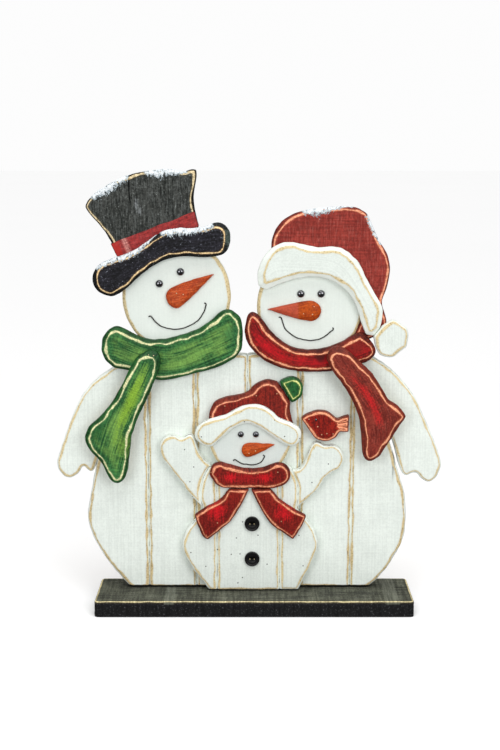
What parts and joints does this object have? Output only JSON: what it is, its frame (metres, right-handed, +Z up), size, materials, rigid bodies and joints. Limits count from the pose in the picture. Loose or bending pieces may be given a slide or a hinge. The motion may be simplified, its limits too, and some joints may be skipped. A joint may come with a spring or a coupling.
{
  "type": "wooden snowman family standing plaque",
  "caption": "Painted wooden snowman family ornament: parents and a child in hats and scarves, sawn in layers and glued upright on a narrow base board that stands on a shelf.",
  "frame": {"origin": "middle of the base board's underside", "axes": "+Z up, the painted side faces -Y, +X to the viewer's right"},
  "size_m": [0.464, 0.089, 0.526],
  "materials": {
    "white_paint": "brushed matt white paint over sawn wood, sanded back to tan wood along the edges",
    "black_paint": "satin near-black paint over wood, sanded back along the edges",
    "charcoal_paint": "faded black paint over open-grained wood",
    "red_paint": "satin red paint with a darker edge and a pale sanded line",
    "green_paint": "satin green paint shaded from dark edges to a lime middle, with a pale sanded line",
    "orange_paint": "satin orange paint on a smoothed wooden carrot shape",
    "gloss_bead": "high gloss black",
    "black_wire": "black annealed wire",
    "ribbon": "ribbed red ribbon with a soft sheen",
    "snow_paste": "rough white textured paste",
    "brad_steel": "small bright nail heads",
    "screw_steel": "zinc plated screw heads",
    "bare_wood": "bare sawn softwood"
  },
  "bodies": {
    "root": {"base_board": "black_paint", "plank_outer_left": "white_paint", "plank_mid_left": "white_paint", "plank_inner_left": "white_paint", "plank_inner_right": "white_paint", "plank_mid_right": "white_paint", "plank_outer_right": "white_paint", "batten_lower": "bare_wood", "batten_upper": "bare_wood", "arm_left": "white_paint", "arm_right": "white_paint", "head_left": "white_paint", "head_right": "white_paint", "top_hat_crown": "charcoal_paint", "hat_ribbon": "ribbon", "top_hat_brim": "black_paint", "scarf_green_wrap": "green_paint", "scarf_green_tail": "green_paint", "scarf_red_wrap": "red_paint", "scarf_red_tail": "red_paint", "stocking_cap_crown": "red_paint", "stocking_cap_trim": "white_paint", "stocking_cap_pompom": "white_paint", "child_board_left": "white_paint", "child_board_middle": "white_paint", "child_board_right": "white_paint", "child_arm_left": "white_paint", "child_arm_right": "white_paint", "child_head": "white_paint", "child_cap_crown": "red_paint", "child_cap_brim": "white_paint", "child_cap_pompom": "green_paint", "child_scarf_wrap": "red_paint", "child_scarf_tail_left": "red_paint", "child_scarf_tail_right": "red_paint", "button_upper": "gloss_bead", "button_lower": "gloss_bead", "bird": "red_paint", "nose_left": "orange_paint", "nose_right": "orange_paint", "nose_child": "orange_paint", "eye_left_a": "gloss_bead", "eye_left_b": "gloss_bead", "eye_right_a": "gloss_bead", "eye_right_b": "gloss_bead", "eye_child_a": "gloss_bead", "eye_child_b": "gloss_bead", "smile_left": "black_wire", "smile_right": "black_wire", "smile_child": "black_wire"}
  },
  "joints": []
}
